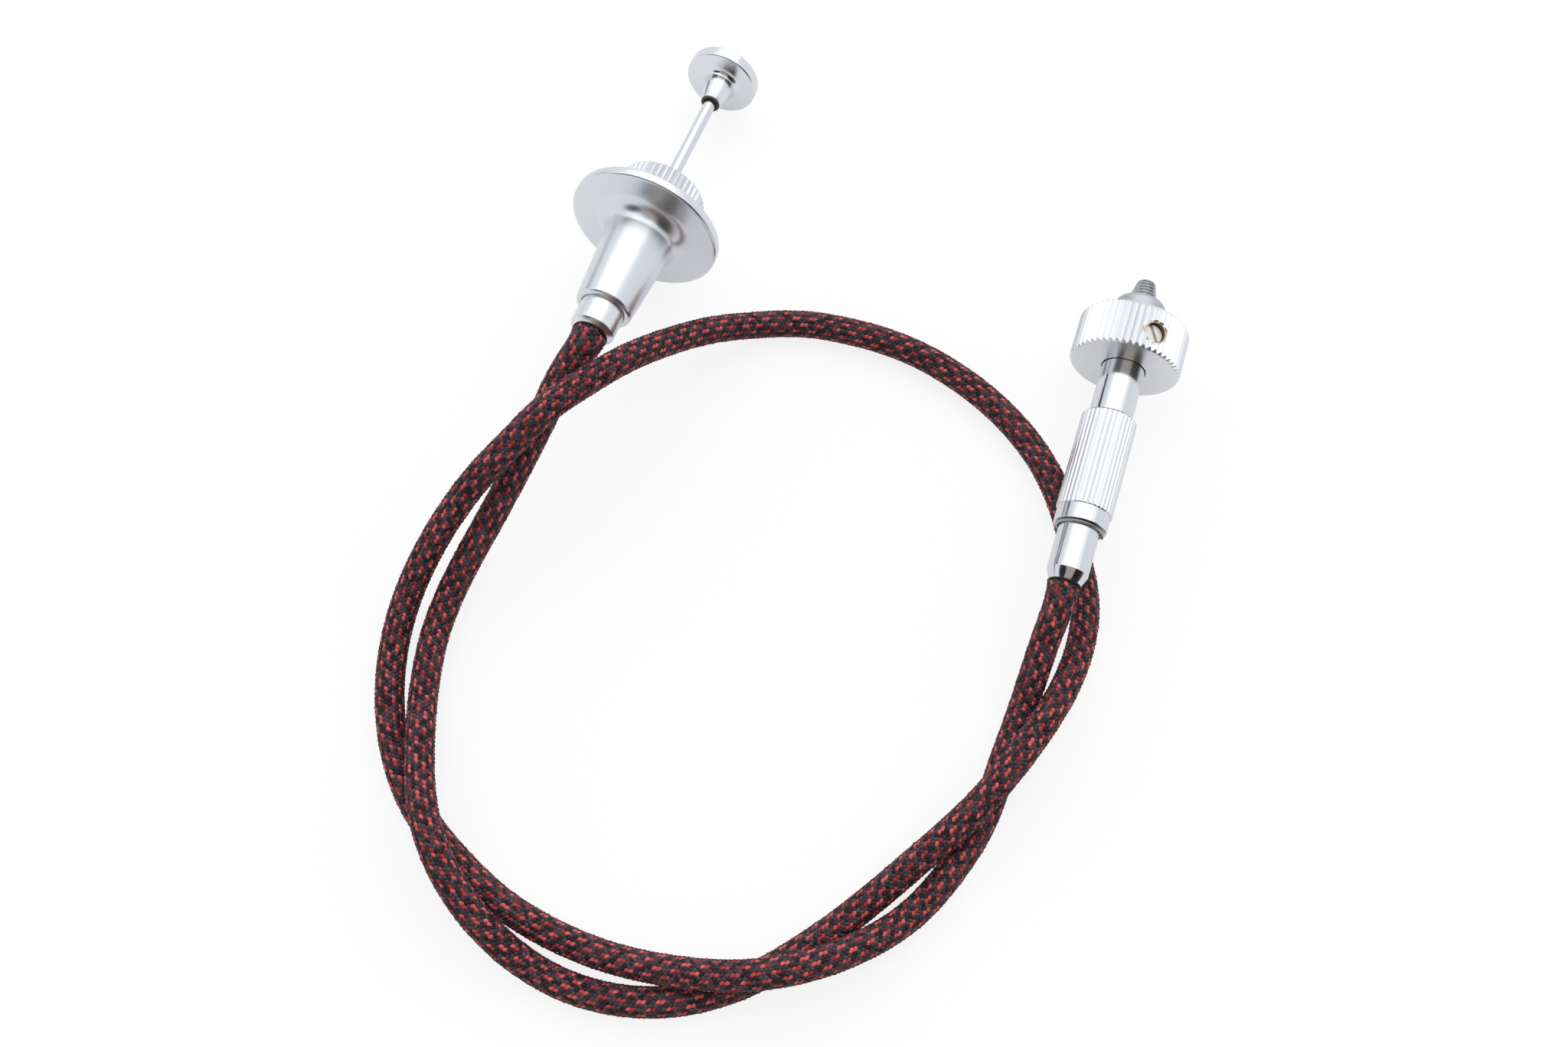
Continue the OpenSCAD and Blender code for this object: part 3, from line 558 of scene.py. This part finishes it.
# Tip ferrule and snap ring. The ferrule holds the cable and the swivel tube. A bent spring wire
# lies in its seat and keeps the grip from rattling.
ferrule_top, tip_ferrule_r, tip_bore_r, tip_bore, tip_nose_r, tip_taper = -25.0, 2.8, 1.9, 3, 2.2, 1.5
seat_r, seat_foot = 2.74, ferrule_top - 0.28
tip_ferrule_outline = [
    (tip_bore_r, ferrule_top), (seat_r, ferrule_top), (seat_r, seat_foot),
    (tip_ferrule_r - 0.05, seat_foot), (tip_ferrule_r, seat_foot - 0.1),
    (tip_ferrule_r, tip_end + tip_taper), (tip_nose_r, tip_end), (0, tip_end),
    (0, ferrule_top - tip_bore), (tip_bore_r, ferrule_top - tip_bore), (tip_bore_r, ferrule_top),
]
finish_piece(
    turned(tip_ferrule_outline, 96, corner=15), "tip_ferrule_turned", on_tip, bright_chrome,
    "release_body", "bright_chrome", "tip_ferrule",
)

snap_wire, snap_r, snap_at, snap_start, snap_turn = 0.42, tip_ferrule_r + 0.3, ferrule_top - 0.13, 20, 335
bm = bmesh.new()
bmesh.ops.create_circle(bm, cap_ends=True, segments=16, radius=snap_wire / 2)
bmesh.ops.rotate(bm, matrix=Matrix.Rotation(pi / 2, 3, "X"), verts=bm.verts[:])
bmesh.ops.translate(bm, vec=(snap_r, 0, snap_at), verts=bm.verts[:])
bmesh.ops.rotate(bm, matrix=Matrix.Rotation(radians(snap_start), 3, "Z"), verts=bm.verts[:])
swept = bmesh.ops.spin(
    bm, geom=bm.faces[:], cent=(0, 0, 0), axis=(0, 0, 1), angle=radians(snap_turn), steps=64,
    use_duplicate=False,
)
wire_end = [f for f in swept["geom_last"] if isinstance(f, bmesh.types.BMFace)]
for step in ((0.03, 0.10, -0.12), (0.06, 0.05, -0.20)):
    drawn = bmesh.ops.extrude_face_region(bm, geom=wire_end)["geom"]
    bmesh.ops.delete(bm, geom=wire_end, context="FACES_ONLY")
    wire_end = [f for f in drawn if isinstance(f, bmesh.types.BMFace)]
    bmesh.ops.translate(bm, vec=step, verts=[v for v in drawn if isinstance(v, bmesh.types.BMVert)])
bmesh.ops.recalc_face_normals(bm, faces=bm.faces[:])
spring_steel = new_material("spring_steel", (0.42, 0.44, 0.45), Metallic=1.0, Roughness=0.3)[0]
finish_piece(bm, "bent_snap_ring", on_tip, spring_steel, "release_body", "steel", "snap_ring")

# Grip. Neck, straight knurl and smooth lip in one turned sleeve. The knurl is shallow, with flat
# lands between its grooves.
lip_r, grip_foot, knurl_foot, knurl_top, neck_r, wheel_h = 3.65, -24.9, -22.6, -8.1, 3.0, 6.8
knurl_r, knurl_deep, knurl_teeth, grip_bore_r, grip_top = 3.85, 0.13, 36, 1.95, wheel_h - 0.1
grip_outline = [
    (grip_bore_r, grip_foot), (lip_r - 0.05, grip_foot), (lip_r, grip_foot + 0.05),
    (lip_r, knurl_foot), (knurl_r - 0.08, knurl_foot), (knurl_r, knurl_foot + 0.08),
    (knurl_r, knurl_top - 0.3), (knurl_r - 0.3, knurl_top), (neck_r, knurl_top),
    (neck_r, grip_top), (grip_bore_r, grip_top), (grip_bore_r, grip_foot),
]
bm = toothed(grip_outline, knurl_teeth, knurl_deep, land=0.5)
for face in bm.faces:
    if knurl_foot < face.calc_center_median().z < knurl_top:
        face.material_index = 1
grip = finish_piece(bm, "knurled_grip", on_tip, bright_chrome, "grip", "bright_chrome", "grip_sleeve")
grip.data.materials.append(knurled_chrome)

# Knurled wheel. A wide wheel with sharp V teeth, clamped on the neck and drilled across for its
# screw.
wheel_r, wheel_teeth, wheel_deep, wheel_cut, relief_w, relief_deep = 7.75, 52, 0.42, 0.4, 0.15, 0.8
cross_r, cross_at, cross_turn, drill_len, drill_at = 1.7, 3.0, 17, 8, 6.2
chamfer = np.linspace(0, wheel_cut, 6)
wheel_outline = [
    (neck_r + relief_w, 0), *[(wheel_r - wheel_cut + k, k) for k in chamfer],
    *[(wheel_r - k, wheel_h - wheel_cut + k) for k in chamfer],
    (neck_r, wheel_h), (neck_r, relief_deep), (neck_r + relief_w, relief_deep), (neck_r + relief_w, 0),
]
wheel = finish_piece(
    toothed(wheel_outline, wheel_teeth, wheel_deep, land=0.12), "toothed_wheel", on_tip, knurled_chrome,
    "grip", "bright_chrome", "knurled_wheel",
)

drill_axis = on_tip @ Matrix.Rotation(radians(cross_turn), 4, "Z")
bm = bmesh.new()
bmesh.ops.create_cone(bm, cap_ends=True, segments=64, radius1=cross_r, radius2=cross_r, depth=drill_len)
bmesh.ops.rotate(bm, matrix=Matrix.Rotation(pi / 2, 3, "X"), verts=bm.verts[:])
bmesh.ops.translate(bm, vec=(0, -drill_at, cross_at), verts=bm.verts[:])
bmesh.ops.transform(bm, matrix=drill_axis @ Matrix.Scale(MM, 4), verts=bm.verts[:])
drill_mesh = bpy.data.meshes.new("drill")
bm.to_mesh(drill_mesh)
bm.free()
drill = bpy.data.objects.new("drill", drill_mesh)
scene.collection.objects.link(drill)
hole = wheel.modifiers.new("cross_hole", "BOOLEAN")
hole.object = drill
hole.solver = "EXACT"
bpy.context.view_layer.update()
drilled = bpy.data.meshes.new_from_object(wheel.evaluated_get(bpy.context.evaluated_depsgraph_get()))
wheel.modifiers.clear()
wheel.data = drilled
bpy.data.objects.remove(drill)

# Set screw. A slotted brass screw, once nickelled, sunk in its threaded bush; the nickel is left
# on the face only and the slot is worn.
screw_head, screw_foot, bush_r, face_r, slot_half, slot_turn = wheel_r - 1.0, 3.2, 1.48, 1.36, 0.26, 35
bush_top, slot_floor, head_t, bush_outer_r = wheel_r - 0.4, wheel_r - 1.3, 0.3, cross_r - 0.02
screw_brass = worked_metal("screw_brass", (0.76, 0.64, 0.52), 0.35, 0.1, 0.2)
# a darker brass, painted on the bush's wall as its shade
painted_shade_brass = worked_metal("painted_shade_brass", (0.34, 0.25, 0.18), 0.45, 0.1, 0.2)
worn_nickel = worked_metal("worn_nickel", (0.88, 0.87, 0.83), 0.48, 0.3, 0.3, 0.6, 0.6)

# the face, as two halves with the slot between them
bm = bmesh.new()
bmesh.ops.create_cone(
    bm, cap_ends=True, segments=48, radius1=face_r, radius2=face_r - 0.06, depth=head_t,
)
bmesh.ops.translate(bm, vec=(0, 0, screw_head - head_t / 2), verts=bm.verts[:])
for side in (-slot_half, slot_half):
    whole = bm.verts[:] + bm.edges[:] + bm.faces[:]
    bmesh.ops.bisect_plane(bm, geom=whole, plane_co=(side, 0, 0), plane_no=(1, 0, 0))
slot = [f for f in bm.faces if abs(f.calc_center_median().x) < slot_half - 0.01]
bmesh.ops.delete(bm, geom=slot, context="FACES")
bmesh.ops.holes_fill(bm, edges=[e for e in bm.edges if e.is_boundary], sides=0)
halves = bpy.data.meshes.new("screw_halves")
bm.to_mesh(halves)
bm.free()

# the bush round it: plain brass on its rim and on the slot's floor, and on its wall a darker brass that is
# painted shade
bush_outline = [
    (0, screw_foot), (bush_outer_r, screw_foot), (bush_outer_r, bush_top), (bush_r, bush_top),
    (bush_r - 0.06, slot_floor), (0, slot_floor),
]
bm = turned(bush_outline, 48, broken=0)
for face in bm.faces:
    middle = face.calc_center_median()
    face.material_index = int(middle.xy.length < bush_r and slot_floor + 0.05 < middle.z < bush_top - 0.01)
bush_faces = len(bm.faces)
bm.from_mesh(halves)
bpy.data.meshes.remove(halves)
bm.faces.ensure_lookup_table()
for face in bm.faces[bush_faces:]:
    face.material_index = 2
bmesh.ops.recalc_face_normals(bm, faces=bm.faces[:])
bmesh.ops.rotate(bm, matrix=Matrix.Rotation(radians(slot_turn), 3, "Z"), verts=bm.verts[:])
bmesh.ops.rotate(bm, matrix=Matrix.Rotation(pi / 2, 3, "X"), verts=bm.verts[:])
bmesh.ops.translate(bm, vec=(0, 0, cross_at), verts=bm.verts[:])
bmesh.ops.rotate(bm, matrix=Matrix.Rotation(radians(cross_turn), 3, "Z"), verts=bm.verts[:])
screw = finish_piece(bm, "slotted_screw", on_tip, screw_brass, "grip", "screw_brass", "set_screw")
screw.data.materials.append(painted_shade_brass)
screw.data.materials.append(worn_nickel)

# Cone. A domed shoulder and a tapered thread, held in the grip by a spigot; the pin comes out of
# its mouth.
dome_r, dome_foot, dome_side, dome_top, dome_top_r = 3.6, 6.8, 9.9, 11.0, 2.2
cone_top, cone_foot_r, cone_mouth_r, cone_edge = 14.2, 2.1, 1.3, 0.1
spigot_foot, spigot_r, pin_bore_r = -4.2, 2.4, 0.75
thread_pitch, thread_start, thread_end, thread_run, thread_deep, thread_flat = 0.55, 0.1, 3.1, 0.2, 0.2, 0.8
thread_rows = np.arange(1, 69) / 72
cone_outline = (
    [(pin_bore_r, spigot_foot), (spigot_r, spigot_foot), (spigot_r, dome_foot), (dome_r, dome_foot)]
    + [
        (dome_top_r + (dome_r - dome_top_r) * cos(a), dome_side + (dome_top - dome_side) * sin(a))
        for a in np.linspace(0, pi / 2, 10)
    ]
    + [(cone_foot_r, dome_top)]
    + [
        (cone_foot_r + (cone_mouth_r - cone_foot_r) * k, dome_top + (cone_top - dome_top) * k)
        for k in thread_rows
    ]
    + [(cone_mouth_r, cone_top - cone_edge), (cone_mouth_r - cone_edge, cone_top)]
    + [(pin_bore_r, cone_top), (pin_bore_r, spigot_foot)]
)
cone_nickel = worked_metal("cone_nickel", (0.54, 0.57, 0.60), 0.42)
bm = turned(cone_outline, 72, broken=0)
for vert in bm.verts:
    up = vert.co.z - dome_top
    if thread_start < up < thread_end and vert.co.xy.length > 1:
        turn = np.arctan2(vert.co.y, vert.co.x) / (2 * pi)
        wave = abs(((up / thread_pitch - turn) % 1) * 2 - 1)
        fade = min(1, (up - thread_start) / thread_run, (thread_end - up) / thread_run)
        groove = fade * max(0, thread_flat - wave) / thread_flat
        vert.co.xy *= 1 - thread_deep * groove / vert.co.xy.length
finish_piece(bm, "threaded_cone", on_tip, cone_nickel, "grip", "bright_chrome", "cone_tip")

pin_r, pin_foot, pin_top = 0.7, -1.0, 13.4
pin_outline = [
    (0, pin_foot), (pin_r, pin_foot), (pin_r, pin_top - 0.2), (pin_r - 0.15, pin_top), (0, pin_top),
]
pin_steel = worked_metal("pin_steel", (0.5, 0.5, 0.51), 0.3)
finish_piece(
    turned(pin_outline, 48, broken=0.03), "release_pin_turned", on_tip, pin_steel,
    "pin", "steel", "release_pin",
)

# Inner pieces. Bush, collet, collar, clamp and swivel tube are brass; the washer and the core
# wire are steel. They keep their own shapes.
inner_brass = new_material("inner_brass", (0.66, 0.5, 0.24), Metallic=1.0, Roughness=0.3)[0]
inner_steel = new_material("inner_steel", (0.45, 0.45, 0.46), Metallic=1.0, Roughness=0.35)[0]
inner_pieces = {
    inner_brass: ("top_bush", "lock_collet", "rod_collar", "wire_clamp", "swivel_tube"),
    inner_steel: ("lock_washer", "upper_wire", "pin_wire"),
}
for material, names in inner_pieces.items():
    for name in names:
        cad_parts[name].data.materials.clear()
        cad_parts[name].data.materials.append(material)

# Table and light. A white table that glows a little where it is looked at, also in a reflection,
# so that it reads white and keeps the shadow; a broad soft light behind and above; and a white
# surround with the dark areas that the metal shows.
bm = bmesh.new()
bmesh.ops.create_circle(bm, cap_ends=True, segments=96, radius=3)
table_mesh = bpy.data.meshes.new("table")
bm.to_mesh(table_mesh)
bm.free()
table = bpy.data.objects.new("table", table_mesh)
scene.collection.objects.link(table)
white, nodes, links, shader = new_material("white_table", (0.9, 0.9, 0.92), Roughness=0.9)
shader.inputs["Specular IOR Level"].default_value = 0
glow = nodes.new("ShaderNodeEmission")
glow.inputs["Strength"].default_value = 1.11
rays = nodes.new("ShaderNodeLightPath").outputs
reflected = maths(nodes, links, "ADD", rays["Is Glossy Ray"], rays["Is Transmission Ray"])
half = maths(nodes, links, "MULTIPLY", reflected, 0.5)
looked_at = maths(nodes, links, "ADD", rays["Is Camera Ray"], half)
mix = nodes.new("ShaderNodeMixShader")
links.new(maths(nodes, links, "MULTIPLY", looked_at, 0.75), mix.inputs["Fac"])
links.new(shader.outputs[0], mix.inputs[1])
links.new(glow.outputs[0], mix.inputs[2])
links.new(mix.outputs[0], nodes["Material Output"].inputs["Surface"])
table_mesh.materials.append(white)

world = bpy.data.worlds.new("surround")
scene.world = world
world.use_nodes = True
nodes, links = world.node_tree.nodes, world.node_tree.links
direction = nodes.new("ShaderNodeTexCoord")


def toward(aim, outer, inner):
    """A soft round area of the surround, one in its middle and nought outside."""
    facing = nodes.new("ShaderNodeVectorMath")
    facing.operation = "DOT_PRODUCT"
    facing.inputs[1].default_value = Vector(aim).normalized()
    soft = nodes.new("ShaderNodeMapRange")
    soft.interpolation_type = "SMOOTHSTEP"
    soft.inputs["From Min"].default_value = cos(radians(outer))
    soft.inputs["From Max"].default_value = cos(radians(inner))
    links.new(direction.outputs["Generated"], facing.inputs[0])
    links.new(facing.outputs["Value"], soft.inputs["Value"])
    return soft.outputs["Result"]


def tint(under, mask, colour):
    """One colour laid over another through a mask."""
    layer = nodes.new("ShaderNodeMix")
    layer.data_type = "RGBA"
    layer.inputs["B"].default_value = (*colour, 1)
    links.new(mask, layer.inputs["Factor"])
    if isinstance(under, tuple):
        layer.inputs["A"].default_value = (*under, 1)
    else:
        links.new(under, layer.inputs["A"])
    return layer.outputs["Result"]


# each area of the surround: its direction, its outer and inner angle in degrees, its colour
areas = [
    ((0, 0.12, 1), 58, 42, (1.12, 1.12, 1.12)),
    ((0.0, -0.8, 0.55), 38, 22, (0.22, 0.18, 0.155)),
    ((0.52, -0.82, 0.24), 44, 26, (0.055, 0.042, 0.036)),
    ((-0.66, -0.25, 0.71), 24, 16, (0.02, 0.02, 0.022)),
    ((0.6, -0.52, 0.6), 24, 16, (0.02, 0.018, 0.018)),
    ((0.0, -0.4, 0.91), 25, 20, (0.42, 0.37, 0.32)),
    ((-0.76, 0.64, 0.06), 12, 7, (0.02, 0.02, 0.022)),
]
room = (0.80, 0.82, 0.86)
for aim, outer, inner, colour in areas:
    room = tint(room, toward(aim, outer, inner), colour)
around = nodes["Background"]
links.new(room, around.inputs["Color"])
clear = nodes.new("ShaderNodeBackground")
clear.inputs["Color"].default_value = (1, 1, 1, 1)
rays = nodes.new("ShaderNodeLightPath").outputs
sight = nodes.new("ShaderNodeMixShader")
links.new(rays["Is Camera Ray"], sight.inputs["Fac"])
links.new(around.outputs[0], sight.inputs[1])
links.new(clear.outputs[0], sight.inputs[2])
links.new(sight.outputs[0], nodes["World Output"].inputs["Surface"])

lamp = bpy.data.lights.new("back_light", "AREA")
lamp.shape = "RECTANGLE"
lamp.size, lamp.size_y, lamp.energy = 1.4, 1.0, 1.5
light_at, light_aim = Vector((0.15, 0.7, 0.9)), Vector((0, -0.03, 0))
light = bpy.data.objects.new("back_light", lamp)
light.location = light_at
light.rotation_euler = (light_aim - light_at).to_track_quat("-Z", "Y").to_euler()
scene.collection.objects.link(light)

scene.view_settings.view_transform = "Standard"
